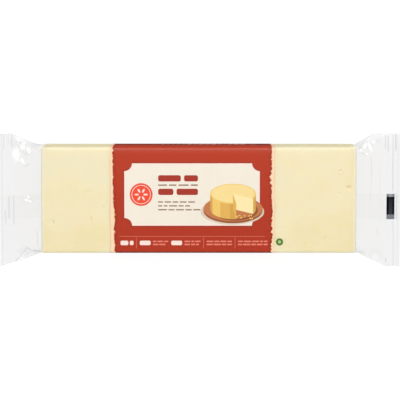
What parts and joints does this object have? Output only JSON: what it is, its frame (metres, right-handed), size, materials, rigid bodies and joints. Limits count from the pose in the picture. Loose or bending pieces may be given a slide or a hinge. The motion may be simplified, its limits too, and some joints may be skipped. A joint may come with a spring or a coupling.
{
  "type": "packed cheddar block",
  "caption": "Long rectangular block of cheddar sealed in clear flow-wrap film, with a printed band round its middle and flared, crimped film ends.",
  "frame": {"origin": "under the middle of the pack's outer box, on the surface that the pack lies on", "axes": "+X along the pack, +Y up the printed face, +Z out of the printed face; the pack lies on its back"},
  "size_m": [0.2392, 0.0792, 0.032],
  "materials": {
    "cheddar": "smooth pale yellow cheese under tight clear film",
    "red_print": "rust-red printed film",
    "clear_film": "clear, glossy, lightly creased film"
  },
  "bodies": {
    "root": {"cheddar_block": "cheddar", "label_band": "red_print", "film_end_left": "clear_film", "film_end_right": "clear_film"}
  },
  "joints": []
}
